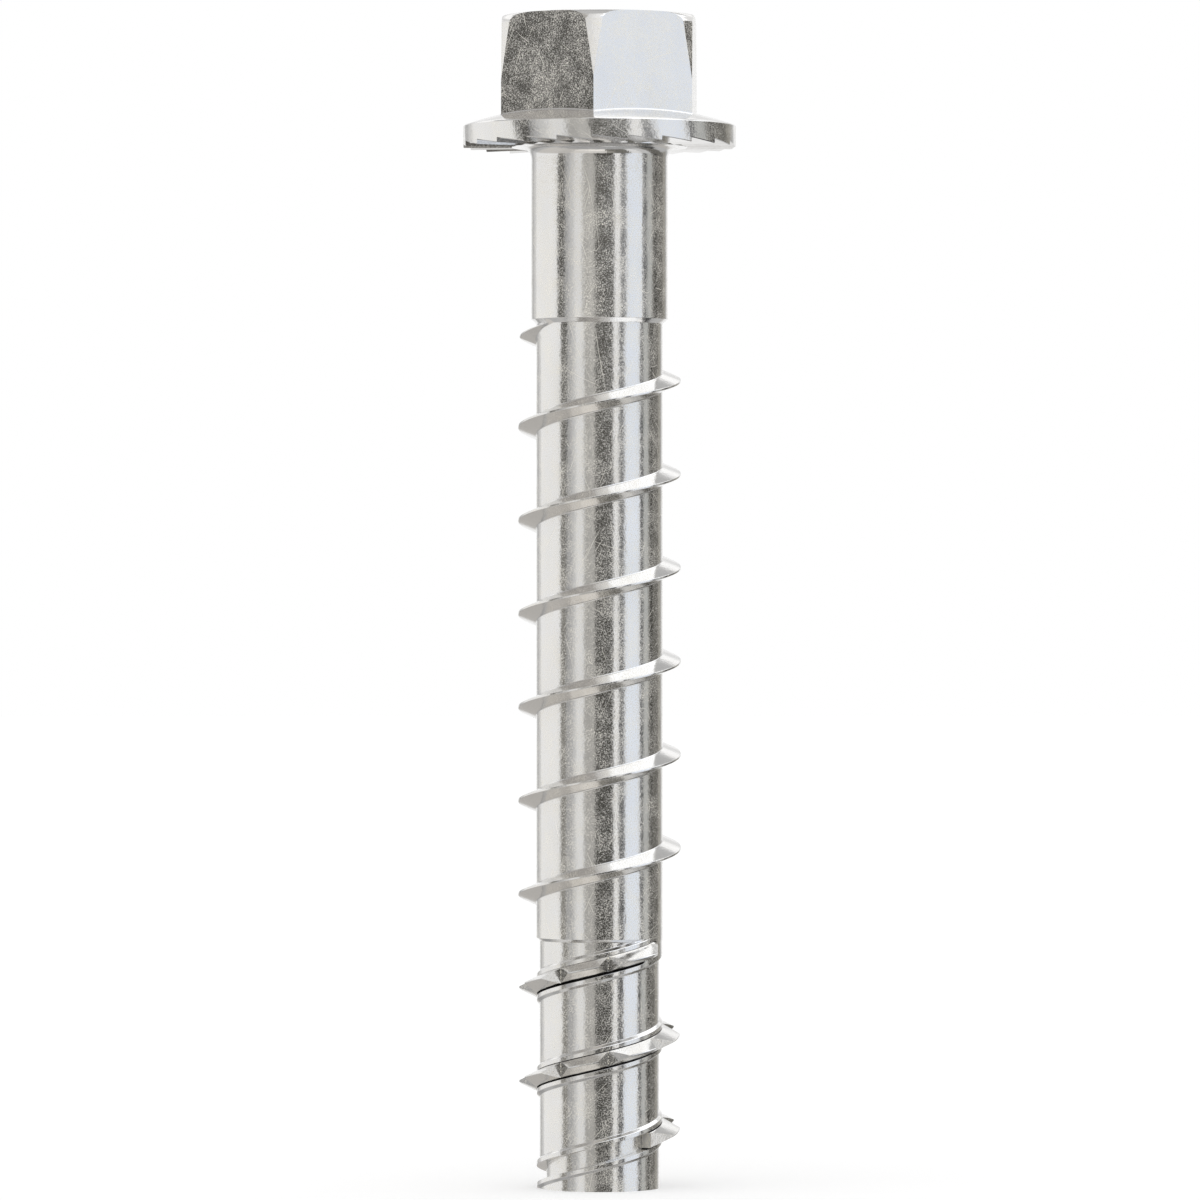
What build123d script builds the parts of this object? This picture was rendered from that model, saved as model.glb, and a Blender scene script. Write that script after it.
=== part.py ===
from build123d import *
import math
import os

# Stainless concrete screw, millimetres, standing on its blunt tip.
# The origin is the centre of the tip's end face, +Z runs up the axis to the head,
# and a corner of the hexagon points along -Y.

# Lengths along the axis
under_head_length = 101.6     # end face to the bearing plane of the head
shank_length = 16.8           # plain shank with its chamfer and the fillet under the head
tip_length = 24.45            # thinner tip that carries the cutting coil
hex_height = 12.8             # bearing plane to the top of the head

# Diameters of the turned body
shank_diameter = 13.32
core_diameter = 12.34
tip_diameter = 11.69
shoulder_chamfer = 0.44       # axial length of the chamfer from shank to core
step_chamfer = 0.30           # axial length of the chamfer from core to tip

# Head
across_flats = 18.56
corner_wall_height = 6.6      # bearing plane to where the corners start to lean in
corner_draft = 4.0            # degrees that the truncated corners lean in
crown_radius = 1.0
washer_diameter = 26.65
washer_rim = 2.1
washer_slope = 15.6           # degrees of the washer's upper face
seat_fillet_radius = 1.15     # hollow fillet between shank and washer

# Ratchet teeth under the washer
tooth_count = 24
tooth_depth = 0.42            # measured at the rim
tooth_ring_diameter = 17.2    # plain ring that the teeth stop at

# Main thread: a right-hand helix that passes the front at helix_height.
# Angles round it are in degrees, counted from there and upwards.
thread_pitch = 9.125
helix_height = 21.73
thread_diameter = 15.90
thread_root_width = 1.56
thread_crest_width = 0.20
run_out_sweep = 75.0          # in which the thread sinks into the core above the tip
run_in_sweep = 55.0           # and the same under the shoulder
run_in_lap = 0.18             # how far the sunk end reaches over the shoulder's edge
run_sections = 6

# Helical band on the tip: two lips with the coil's groove between them
lip_relief = 0.03             # lips stay this much under the core
lip_width = 0.42
lip_chamfer = 0.26            # axial length of each lip's outer chamfer
groove_width = 1.72
groove_floor_diameter = 10.36
groove_lead = 6.9             # degrees that the groove starts ahead of the coil
coil_seat_sweep = 13.0        # degrees in which the groove grips the coil's upper end

# Cutting coil
coil_drop = 1.17              # the coil's upper end lies this far below the step
coil_turns = 2.0174
coil_diameter = 15.90
coil_side_play = 0.22         # how much narrower the strip is than its groove
coil_clearance = 0.02         # braze film between the strip and its seat
coil_shoulder = 0.04          # square side of the strip above the lips
notches_per_turn = 8
notch_setback = 5.1           # degrees from the coil's upper end to its first notch
notch_floor_diameter = 12.50
notch_lead_angle = 37.6       # degrees between the radius and each wall of a notch
notch_trail_angle = 53.7

# Working values
embed = 0.4                   # how deep a swept form starts under its surface
overcut = 1.0                 # how far a cutter reaches past what it cuts
full_turn = 360.0
front_angle = -90.0           # the front of the helix lies on -Y

shank_radius = shank_diameter / 2
core_radius = core_diameter / 2
tip_radius = tip_diameter / 2
washer_radius = washer_diameter / 2
corner_radius = across_flats / 2 / math.cos(math.radians(30))
top_height = under_head_length + hex_height
shoulder_height = under_head_length - shank_length
coil_width = groove_width - coil_side_play
# The strip lies against the groove's upper wall at its upper end and midway at its lower
coil_drift = coil_side_play / 2 - coil_clearance
coil_pitch = thread_pitch + coil_drift / coil_turns


def ring_section(points):
    """Face in the axial plane through (radius, height) points, for a revolve or a sweep."""
    return make_face(Plane.XZ * Polyline(*points, close=True))


def helix_z(turn_angle):
    """Height of the helix at an angle round it."""
    return helix_height + thread_pitch * turn_angle / full_turn


def helix_angle(height):
    """Angle round the helix at a height."""
    return (height - helix_height) * full_turn / thread_pitch


def at_turn(shape, turn_angle, height):
    """Turn a shape from the +X half-plane to an angle round the helix, and lift it."""
    return Pos(0, 0, height) * Rot(0, 0, turn_angle + front_angle) * shape


def helical_sweep(points, start_angle, end_angle, pitch, start_height):
    """Screw a section along the helix between two angles, upwards."""
    rise = pitch * (end_angle - start_angle) / full_turn
    path = Helix(pitch=pitch, height=rise, radius=core_radius)
    strip = sweep(ring_section(points), path=path, is_frenet=True)
    return at_turn(strip, start_angle, start_height)


# Turned body, from the end face to the washer
def turned_body():
    slope = math.tan(math.radians(washer_slope))
    cone_top = under_head_length + washer_rim + slope * (washer_radius - across_flats / 2)
    fillet_start = (shank_radius, under_head_length - seat_fillet_radius)
    fillet_end = (shank_radius + seat_fillet_radius, under_head_length)
    below = Polyline(
        (0, cone_top),
        (0, 0),
        (tip_radius, 0),
        (tip_radius, tip_length - step_chamfer),
        (core_radius, tip_length),
        (core_radius, shoulder_height - shoulder_chamfer),
        (shank_radius, shoulder_height),
        fillet_start,
    )
    above = Polyline(
        fillet_end,
        (washer_radius, under_head_length),
        (washer_radius, under_head_length + washer_rim),
        (across_flats / 2, cone_top),
        (0, cone_top),
    )
    outline = below + TangentArc(fillet_start, fillet_end, tangent=(0, 1)) + above
    return revolve(make_face(Plane.XZ * outline), Axis.Z)


# Hexagon, its corners leaning in above the wall and rolled over at the top
def hexagon_head():
    base = under_head_length + washer_rim / 2
    wall_top = under_head_length + corner_wall_height
    lean = (top_height - wall_top) * math.tan(math.radians(corner_draft))
    prism = extrude(RegularPolygon(across_flats / 2, 6, major_radius=False), top_height - base)
    prism = Pos(0, 0, base) * Rot(0, 0, 30) * prism
    crown = revolve(
        ring_section(
            [
                (0, base),
                (corner_radius + overcut, base),
                (corner_radius + overcut, wall_top),
                (corner_radius, wall_top),
                (corner_radius - lean, top_height),
                (0, top_height),
            ]
        ),
        Axis.Z,
    )
    top_edge = crown.edges().filter_by(GeomType.CIRCLE).sort_by(Axis.Z)[-1]
    return prism & fillet(top_edge, crown_radius)


# One ratchet tooth's ramp, a wedge that widens and deepens with the radius
def ramp_section(radius):
    pitch_angle = math.radians(full_turn / tooth_count)
    width = 2 * radius * math.tan(pitch_angle / 2)
    depth = tooth_depth * radius / washer_radius
    return make_face(
        Plane.YZ.offset(radius) * Polyline((0, 0), (width, 0), (0, depth), close=True)
    )


def ratchet_ramps():
    inner = ramp_section(tooth_ring_diameter / 2)
    outer = ramp_section(washer_radius + overcut)
    ramp = Pos(0, 0, under_head_length) * loft([inner, outer], ruled=True)
    pitch_angle = full_turn / tooth_count
    return [Rot(0, 0, front_angle + pitch_angle * i) * ramp for i in range(tooth_count)]


# Thread section, sunk towards the axis by a distance where it runs in or out
def thread_points(sink=0.0):
    half_crest = thread_crest_width / 2
    crest_radius = thread_diameter / 2
    flank = (thread_root_width / 2 - half_crest) / (crest_radius - core_radius)
    base_radius = core_radius - embed
    half_base = half_crest + flank * (crest_radius - base_radius)
    return [
        (base_radius - sink, -half_base),
        (crest_radius - sink, -half_crest),
        (crest_radius - sink, half_crest),
        (base_radius - sink, half_base),
    ]


def thread_fade(full_angle, faded_angle):
    """Loft from the full thread to one sunk just under the core."""
    full_sink = thread_diameter / 2 - core_radius + embed / 4
    sections = []
    for i in range(run_sections + 1):
        share = i / run_sections
        angle = full_angle + (faded_angle - full_angle) * share
        section = ring_section(thread_points(full_sink * share))
        sections.append(at_turn(section, angle, helix_z(angle)))
    return loft(sections)


def main_thread():
    lowest = helix_angle(tip_length + thread_root_width / 2)
    highest = helix_angle(shoulder_height - shoulder_chamfer + run_in_lap)
    start = lowest + run_out_sweep
    end = highest - run_in_sweep
    full = helical_sweep(thread_points(), start, end, thread_pitch, helix_z(start))
    return [full, thread_fade(start, lowest), thread_fade(end, highest)]


# Raised band round the tip, trimmed by the end face and lost in the core above
def tip_band():
    lip_radius = core_radius - lip_relief
    half_top = groove_width / 2 + lip_width
    half_base = half_top + lip_chamfer
    base_radius = tip_radius - embed
    slope = lip_chamfer / (lip_radius - tip_radius)
    half_buried = half_base + slope * embed
    points = [
        (base_radius, -half_buried),
        (lip_radius, -half_top),
        (lip_radius, half_top),
        (base_radius, half_buried),
    ]
    start_height = -half_buried - embed
    end_angle = helix_angle(tip_length + half_buried)
    band = helical_sweep(
        points, helix_angle(start_height), end_angle, thread_pitch, start_height
    )
    return split(band, Plane.XY, keep=Keep.TOP)


# Groove for the coil, from its tight blind end to out through the end face
def coil_groove():
    floor_radius = groove_floor_diameter / 2
    outer_radius = core_radius + overcut
    upper = groove_width / 2
    tight = upper - coil_width - 2 * coil_clearance
    coil_end = helix_angle(tip_length - coil_drop)
    lowest = -upper - embed
    stretches = [
        (-upper, helix_angle(lowest), coil_end - coil_seat_sweep),
        (tight, coil_end - coil_seat_sweep, coil_end + groove_lead),
    ]
    cuts = []
    for lower, start_angle, end_angle in stretches:
        points = [
            (floor_radius, lower),
            (outer_radius, lower),
            (outer_radius, upper),
            (floor_radius, upper),
        ]
        start_height = helix_z(start_angle)
        cuts.append(helical_sweep(points, start_angle, end_angle, thread_pitch, start_height))
    return cuts


def anchor_body():
    body = turned_body() + hexagon_head()
    body = body - ratchet_ramps()
    body = body + main_thread()
    body = body + tip_band()
    return body - coil_groove()


# Coil strip: square foot in the groove, sharp cutting edge above it
def coil_strip():
    half_width = coil_width / 2
    foot_radius = groove_floor_diameter / 2 + coil_clearance
    side_radius = core_radius + coil_shoulder
    points = [
        (foot_radius, -half_width),
        (side_radius, -half_width),
        (coil_diameter / 2, 0),
        (side_radius, half_width),
        (foot_radius, half_width),
    ]
    end_angle = helix_angle(tip_length - coil_drop)
    start_angle = end_angle - coil_turns * full_turn
    start_height = tip_length - coil_drop + coil_drift - coil_pitch * coil_turns
    return helical_sweep(points, start_angle, end_angle, coil_pitch, start_height)


# One notch, a leaning V that runs along the axis through every turn
def notch_wedge():
    floor_radius = notch_floor_diameter / 2
    rise = coil_diameter / 2 + overcut - floor_radius
    lead = rise * math.tan(math.radians(notch_lead_angle))
    trail = rise * math.tan(math.radians(notch_trail_angle))
    outline = Polyline(
        (floor_radius, 0),
        (floor_radius + rise, -lead),
        (floor_radius + rise, trail),
        close=True,
    )
    return extrude(make_face(outline), tip_length + overcut)


def cutting_coil():
    first = helix_angle(tip_length - coil_drop) - notch_setback + front_angle
    spacing = full_turn / notches_per_turn
    wedges = [Rot(0, 0, first + spacing * i) * notch_wedge() for i in range(notches_per_turn)]
    return coil_strip() - wedges


os.makedirs("parts", exist_ok=True)
export_step(anchor_body(), "parts/anchor_body.step")
export_step(cutting_coil(), "parts/cutting_coil.step")
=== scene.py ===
import logging
import math
from collections.abc import Callable, Iterable, Sequence
from dataclasses import dataclass, field
from enum import Enum
from functools import partial

import bmesh
import bpy
from mathutils import Matrix, Vector


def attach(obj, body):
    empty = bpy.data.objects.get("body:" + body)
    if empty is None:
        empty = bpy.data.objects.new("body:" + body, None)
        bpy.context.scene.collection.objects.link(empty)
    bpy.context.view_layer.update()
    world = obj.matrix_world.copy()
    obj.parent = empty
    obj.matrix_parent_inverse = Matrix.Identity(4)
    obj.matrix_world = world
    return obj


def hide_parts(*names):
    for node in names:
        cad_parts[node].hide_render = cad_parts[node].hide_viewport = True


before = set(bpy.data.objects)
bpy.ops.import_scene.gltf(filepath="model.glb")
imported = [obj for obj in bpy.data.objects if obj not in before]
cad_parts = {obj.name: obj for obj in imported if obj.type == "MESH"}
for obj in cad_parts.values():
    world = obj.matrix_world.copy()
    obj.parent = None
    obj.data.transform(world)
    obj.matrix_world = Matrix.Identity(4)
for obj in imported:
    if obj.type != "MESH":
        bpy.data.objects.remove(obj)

# Stainless concrete screw, standing on its blunt tip. Sizes are in millimetres and are
# brought to metres when a mesh is finished. Angles are in degrees. The origin is the centre
# of the tip's end face, +Z runs up to the head, and a corner of the hexagon points along -Y.

log = logging.getLogger("concrete_screw")

MM = 0.001
FULL_TURN = 360.0
FRONT = -90.0            # azimuth of -Y, where turns of the helix are counted from
MERGE = 0.002            # vertices closer than this are one
FLAT = 0.001             # how near to a plane a vertex counts as on it
ON_CUT = 1e-5            # the same where a plane cuts
UPRIGHT = 0.12           # rise of the normal up to which a face counts as upright
SLOPE_WEAR = 0.25        # wear of a sloping face against an upright one
FACE_WEIGHT = 80         # above 50, large faces count for more in the shading at a corner
SLACK = 0.01             # within this of a surface a face or a vertex counts as on it
PAST = 1.0               # how far an outline or a cutter reaches past what it cuts
ORIGIN = (0.0, 0.0, 0.0)
UP = (0.0, 0.0, 1.0)
SHIFT = Vector((1.0, 0.7, 1.3))      # way in which a pattern's offset moves it
RECESS_SHADE = "painted_recess_shade"      # face attribute: painted shade, 1 where the recess round the coil is painted near black for its shade
WEAR = "surface_wear"    # face attribute: how much the face has been rubbed
EVEN = "even_azimuth"    # vertex attribute: place of a vertex in an evenly spaced ring

Mesh = bmesh.types.BMesh
Vert = bmesh.types.BMVert
Edge = bmesh.types.BMEdge
Face = bmesh.types.BMFace
Tree = bpy.types.NodeTree
Node = bpy.types.Node
Socket = bpy.types.NodeSocket
Point = tuple[float, float]             # radius and height
Spot = tuple[float, float, float]       # radius, azimuth and height
Colour = tuple[float, float, float]
Given = Socket | Colour | float         # what an input is linked to or set to


class Keep(Enum):
    """Which side of a cut stays."""

    ABOVE = "above"
    BELOW = "below"
    BOTH = "both"


class Slot(Enum):
    """Material slots of the record."""

    STAINLESS = "stainless_steel"
    HARDENED = "hardened_steel"


# Section and mesh helpers


def polar(radius: float, azimuth: float, height: float) -> Vector:
    """Point at a radius, an azimuth and a height."""
    angle = math.radians(azimuth)
    return Vector((radius * math.cos(angle), radius * math.sin(angle), height))


def only(items: Iterable, kind: type) -> list:
    """Items of one kind, such as a bmesh's edges."""
    return [item for item in items if isinstance(item, kind)]


def rounded(
    points: Sequence[Point], radii: dict[int, float], segments: int = 3, hold: float = 0.0
) -> list[Point]:
    """Round some corners of an open section.

    Args:
        points: the section's corners in order.
        radii: corner index to fillet radius.
        segments: flat steps in each fillet.
        hold: distance from a fillet at which the faces beside it are held flat, or 0.

    Returns:
        The section's points, with an arc in place of each listed corner.
    """
    result: list[Point] = []
    for index, corner in enumerate(points):
        radius = radii.get(index, 0.0)
        if radius <= 0.0:
            result.append(corner)
            continue
        here = Vector(corner)
        before = (Vector(points[index - 1]) - here).normalized()
        after = (Vector(points[index + 1]) - here).normalized()
        half = before.angle(after) / 2
        reach = radius / math.tan(half)
        centre = here + (before + after).normalized() * (radius / math.sin(half))
        start = here + before * reach - centre
        sweep = math.pi - 2 * half
        if start.x * before.y - start.y * before.x > 0:
            sweep = -sweep
        turns = [Matrix.Rotation(sweep * step / segments, 2) for step in range(segments + 1)]
        arc = [centre + turn @ start for turn in turns]
        if hold > 0.0:
            arc = [here + before * (reach + hold), *arc, here + after * (reach + hold)]
        result.extend(tuple(point) for point in arc)
    return result


def spin_section(
    mesh: Mesh,
    section: Sequence[Point],
    start: float,
    sweep: float,
    steps: int,
    pitch: float = 0.0,
    lift: float = 0.0,
) -> None:
    """Spin or screw an open section round the axis.

    Args:
        mesh: the bmesh that takes the surface.
        section: the section's points.
        start: azimuth of the first copy.
        sweep: how far it turns; negative turns back down.
        steps: number of steps in the sweep.
        pitch: rise for a full turn, 0 for a plain spin.
        lift: height of the section's origin at the start.
    """
    verts = [mesh.verts.new(polar(radius, start, height + lift)) for radius, height in section]
    edges = [mesh.edges.new(pair) for pair in zip(verts, verts[1:])]
    bmesh.ops.spin(
        mesh,
        geom=verts + edges,
        cent=ORIGIN,
        axis=UP,
        dvec=(0.0, 0.0, pitch * sweep / FULL_TURN / steps),
        angle=math.radians(sweep),
        steps=steps,
        use_merge=False,
        use_duplicate=False,
    )


def cut_plane(mesh: Mesh, point: Vector, normal: Vector, keep: Keep) -> list[Edge]:
    """Cut the mesh by a plane, and drop what isn't kept.

    Args:
        mesh: the bmesh.
        point: a point on the plane.
        normal: where above is.
        keep: which side stays.

    Returns:
        The edges along the cut.
    """
    cut = bmesh.ops.bisect_plane(
        mesh,
        geom=mesh.verts[:] + mesh.edges[:] + mesh.faces[:],
        dist=ON_CUT,
        plane_co=point,
        plane_no=normal,
        clear_outer=keep is Keep.BELOW,
        clear_inner=keep is Keep.ABOVE,
    )
    return only(cut["geom_cut"], Edge)


def cut_level(mesh: Mesh, height: float, keep: Keep = Keep.BOTH) -> None:
    """Cut the mesh at a height, and drop what isn't kept."""
    cut_plane(mesh, Vector((0.0, 0.0, height)), Vector(UP), keep)


def level_rim(mesh: Mesh, height: float) -> list[Edge]:
    """Open edges that lie at a height."""
    rim = [edge for edge in mesh.edges if edge.is_boundary]
    return [edge for edge in rim if all(abs(vert.co.z - height) < FLAT for vert in edge.verts)]


def extend_rim(mesh: Mesh, rim: Sequence[Edge], place: Callable[[Vert], Vector]) -> list[Edge]:
    """Extrude an open rim to a new ring.

    Args:
        mesh: the bmesh.
        rim: the rim's edges.
        place: gives each new vertex its place.

    Returns:
        The new ring's edges.
    """
    made = bmesh.ops.extrude_edge_only(mesh, edges=rim)["geom"]
    for vert in only(made, Vert):
        vert.co = place(vert)
    return only(made, Edge)


def at_ring(vert: Vert, radius: float, height: float) -> Vector:
    """Place at a radius and a height, in the vertex's own direction."""
    flat = vert.co.xy.normalized() * radius
    return Vector((flat.x, flat.y, height))


def merge_near(mesh: Mesh, distance: float = MERGE) -> None:
    """Merge vertices that lie within a distance."""
    bmesh.ops.remove_doubles(mesh, verts=mesh.verts[:], dist=distance)


def radius_of(vert: Vert) -> float:
    """Distance of a vertex from the axis."""
    return math.hypot(vert.co.x, vert.co.y)


def set_radius(vert: Vert, radius: float) -> None:
    """Move a vertex straight out or in to a radius."""
    now = radius_of(vert)
    vert.co.x *= radius / now
    vert.co.y *= radius / now


def ease(share: float) -> float:
    """Smooth step from 0 to 1."""
    share = min(max(share, 0.0), 1.0)
    return share * share * (3.0 - 2.0 * share)


def mark_wear(mesh: Mesh, amount: Callable[[Face], float]) -> None:
    """Write how much each face has been rubbed, less on the slopes than on upright faces.

    Args:
        mesh: the bmesh, whose faces that are marked already stay as they are.
        amount: gives the wear that a face has where it is upright.
    """
    wear = mesh.faces.layers.float.get(WEAR) or mesh.faces.layers.float.new(WEAR)
    for face in mesh.faces:
        if face[wear] == 0.0:
            face.normal_update()
            share = 1.0 if abs(face.normal.z) < UPRIGHT else SLOPE_WEAR
            face[wear] = share * amount(face)


def scene_object(mesh: Mesh, name: str) -> bpy.types.Object:
    """Put a bmesh in the scene as an object.

    Args:
        mesh: the bmesh, which is freed.
        name: name of the object and of its mesh.

    Returns:
        The new object.
    """
    data = bpy.data.meshes.new(name)
    mesh.to_mesh(data)
    mesh.free()
    made = bpy.data.objects.new(name, data)
    bpy.context.scene.collection.objects.link(made)
    return made


def finish_piece(
    mesh: Mesh, name: str, material: bpy.types.Material, node: str, crease: float = 24.0
) -> bpy.types.Object:
    """Turn a bmesh in millimetres into a finished piece that rides on the screw.

    Args:
        mesh: the bmesh, which is freed.
        name: the piece's name.
        material: its finish.
        node: the CAD node that it stands for.
        crease: edges that turn by more than this stay sharp.

    Returns:
        The new object.
    """
    bmesh.ops.scale(mesh, vec=(MM, MM, MM), verts=mesh.verts[:])
    bmesh.ops.recalc_face_normals(mesh, faces=mesh.faces[:])
    for face in mesh.faces:
        face.smooth = True
    piece = scene_object(mesh, name)
    piece.data.set_sharp_from_angle(angle=math.radians(crease))
    piece.data.materials.append(material)
    weighted = piece.modifiers.new("even_shading", "WEIGHTED_NORMAL")
    weighted.keep_sharp = True
    weighted.weight = FACE_WEIGHT
    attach(piece, "root")
    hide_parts(node)
    return piece


# Shader nodes


def set_input(target: Socket, value: Given) -> None:
    """Link or set an input of a node.

    Args:
        target: the input.
        value: a socket to link, a number, or a colour, which is given an alpha of 1.
    """
    if isinstance(value, Socket):
        target.id_data.links.new(value, target)
    elif isinstance(value, tuple):
        target.default_value = (*value, 1.0)
    else:
        target.default_value = value


def math_node(tree: Tree, operation: str, *values: Given) -> Socket:
    """Add a Math node.

    Args:
        tree: the node tree.
        operation: the node's operation.
        values: what its inputs are linked or set to, in order.

    Returns:
        The node's output.
    """
    node = tree.nodes.new("ShaderNodeMath")
    node.operation = operation
    for target, value in zip(node.inputs, values):
        set_input(target, value)
    return node.outputs[0]


def clipped(tree: Tree, value: Socket, low: float, gain: float) -> Socket:
    """Value less low, times gain, kept between 0 and 1."""
    value = math_node(tree, "MULTIPLY", math_node(tree, "SUBTRACT", value, low), gain)
    return math_node(tree, "MINIMUM", math_node(tree, "MAXIMUM", value, 0.0), 1.0)


def smooth_step(tree: Tree, value: Socket, low: Given, high: Given) -> Socket:
    """Smooth step of a value between two limits.

    Args:
        tree: the node tree.
        value: the value.
        low: up to here the step is 0.
        high: from here on it is 1.

    Returns:
        The step.
    """
    node = tree.nodes.new("ShaderNodeMapRange")
    node.interpolation_type = "SMOOTHSTEP"
    for name, given in (("Value", value), ("From Min", low), ("From Max", high)):
        set_input(node.inputs[name], given)
    return node.outputs["Result"]


def mixed(tree: Tree, mask: Socket, below: Given, above: Given) -> Socket:
    """Lay one colour over another by a mask.

    Args:
        tree: the node tree.
        mask: how much of the upper colour shows, from 0 to 1.
        below: the lower colour.
        above: the upper colour.

    Returns:
        The mixed colour.
    """
    node = tree.nodes.new("ShaderNodeMix")
    node.data_type = "RGBA"
    for name, given in (("Factor", mask), ("A", below), ("B", above)):
        set_input(node.inputs[name], given)
    return node.outputs["Result"]


def mapped(tree: Tree, vector: Socket, **settings: Sequence[float]) -> Socket:
    """Put a vector through a Mapping node.

    Args:
        tree: the node tree.
        vector: the vector.
        settings: the node's Location, Rotation or Scale.

    Returns:
        The mapped vector.
    """
    node = tree.nodes.new("ShaderNodeMapping")
    tree.links.new(vector, node.inputs["Vector"])
    for name, value in settings.items():
        node.inputs[name].default_value = value
    return node.outputs["Vector"]


def object_coords(tree: Tree) -> Socket:
    """Object coordinates."""
    return tree.nodes.new("ShaderNodeTexCoord").outputs["Object"]


def stretched_coords(
    tree: Tree,
    stretch: tuple[float, float, float],
    offset: float = 0.0,
    lean: tuple[float, float] = (0.0, 0.0),
) -> Socket:
    """Object coordinates, leaned and then scaled along each axis.

    Args:
        tree: the node tree.
        stretch: scale along each leaned axis.
        offset: shift of the pattern.
        lean: how far the pattern's upright leans about X and about Y.

    Returns:
        The vector socket.
    """
    rotation = (math.radians(lean[0]), math.radians(lean[1]), 0.0)
    leaned = mapped(tree, object_coords(tree), Rotation=rotation)
    return mapped(tree, leaned, Scale=stretch, Location=SHIFT * offset)


def noise_value(
    tree: Tree, vector: Socket, scale: Given, detail: float, roughness: float = 0.5
) -> Socket:
    """Value of a noise texture.

    Args:
        tree: the node tree.
        vector: its coordinates.
        scale: its scale.
        detail: number of finer octaves.
        roughness: strength of each octave against the one before.

    Returns:
        The value, which keeps round 0.5.
    """
    node = tree.nodes.new("ShaderNodeTexNoise")
    settings = {"Vector": vector, "Scale": scale, "Detail": detail, "Roughness": roughness}
    for name, given in settings.items():
        set_input(node.inputs[name], given)
    return node.outputs["Fac"]


def new_group(
    name: str, inputs: dict[str, float], outputs: Sequence[str]
) -> tuple[Tree, dict[str, Socket], dict[str, Socket]]:
    """Make an empty shader node group.

    Args:
        name: the group's name.
        inputs: name and default of each number that goes in.
        outputs: name of each number that comes out.

    Returns:
        The node tree, the sockets that bring its inputs, and those that take its outputs.
    """
    tree = bpy.data.node_groups.new(name, "ShaderNodeTree")
    for socket, value in inputs.items():
        made = tree.interface.new_socket(name=socket, in_out="INPUT", socket_type="NodeSocketFloat")
        made.default_value = value
    for socket in outputs:
        tree.interface.new_socket(name=socket, in_out="OUTPUT", socket_type="NodeSocketFloat")
    source = tree.nodes.new("NodeGroupInput").outputs
    target = tree.nodes.new("NodeGroupOutput").inputs
    return tree, {key: source[key] for key in inputs}, {key: target[key] for key in outputs}


def placed(tree: Tree, group: Tree, values: dict[str, Given]) -> Node:
    """Put a node group in a tree.

    Args:
        tree: the node tree.
        group: the group.
        values: what its inputs are linked or set to, by name.

    Returns:
        The group's node.
    """
    node = tree.nodes.new("ShaderNodeGroup")
    node.node_tree = group
    for name, given in values.items():
        set_input(node.inputs[name], given)
    return node


def attribute(tree: Tree, name: str) -> Socket:
    """Value of one of the pieces' own attributes."""
    node = tree.nodes.new("ShaderNodeAttribute")
    node.attribute_name = name
    return node.outputs["Fac"]


# Finishes

EVEN_SCALE = (1.0, 1.0, 1.0)
BROAD_GRAIN = (0.24, 1.6)            # scale against the fine grain's, and height
FLECK_NOISES = ((2.0, 1.85), (0.6, 0.26), (0.12, 0.74))      # scale likewise, and gain
FLECK_DETAIL = (1.0, 0.6)            # detail and roughness of those noises
SCRATCH_LEANS = ((4.0, 9.0), (-8.0, -16.0), (12.0, -27.0), (18.0, 21.0), (50.0, -48.0), (-35.0, 66.0))
SCRATCH_SHIFT = 0.031                # offset from one direction of scratches to the next
SCRATCH_BEND = (110.0, 1.3)          # scale of the noise that bends them, and its gain
PATCH_STRETCH = (1.0, 1.0, 0.24)     # the patches in which scratches show run along them
PATCH_SCALE = 1.5                    # their scale and shift against the scratches' own
PATCH_EDGE = (0.625, 11.0)           # noise from which scratches show, and how fast they set in
DRIFT_STRETCH = (1.0, 1.0, 0.5)
DRIFT_SHIFT = 0.3


def grain_group() -> Tree:
    """Fine grain of the rolled metal.

    Returns:
        The group, which puts out the grain's height and its dull flecks.
    """
    inputs = {"Scale": 4200.0, "Flecks": 0.15}
    tree, source, target = new_group("metal_grain", inputs, ["Height", "Fleck"])
    coords = stretched_coords(tree, EVEN_SCALE)
    scale = source["Scale"]
    fine = noise_value(tree, coords, scale, detail=1.0)
    share, height = BROAD_GRAIN
    broad = noise_value(tree, coords, math_node(tree, "MULTIPLY", scale, share), detail=1.0)
    set_input(target["Height"], math_node(tree, "ADD", fine, math_node(tree, "MULTIPLY", broad, height)))

    fleck = source["Flecks"]
    for share, gain in FLECK_NOISES:
        noise = noise_value(tree, coords, math_node(tree, "MULTIPLY", scale, share), *FLECK_DETAIL)
        sway = math_node(tree, "MULTIPLY", math_node(tree, "SUBTRACT", noise, 0.5), gain)
        fleck = math_node(tree, "ADD", fleck, sway)
    set_input(target["Fleck"], clipped(tree, fleck, 0.0, 1.0))
    return tree


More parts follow.
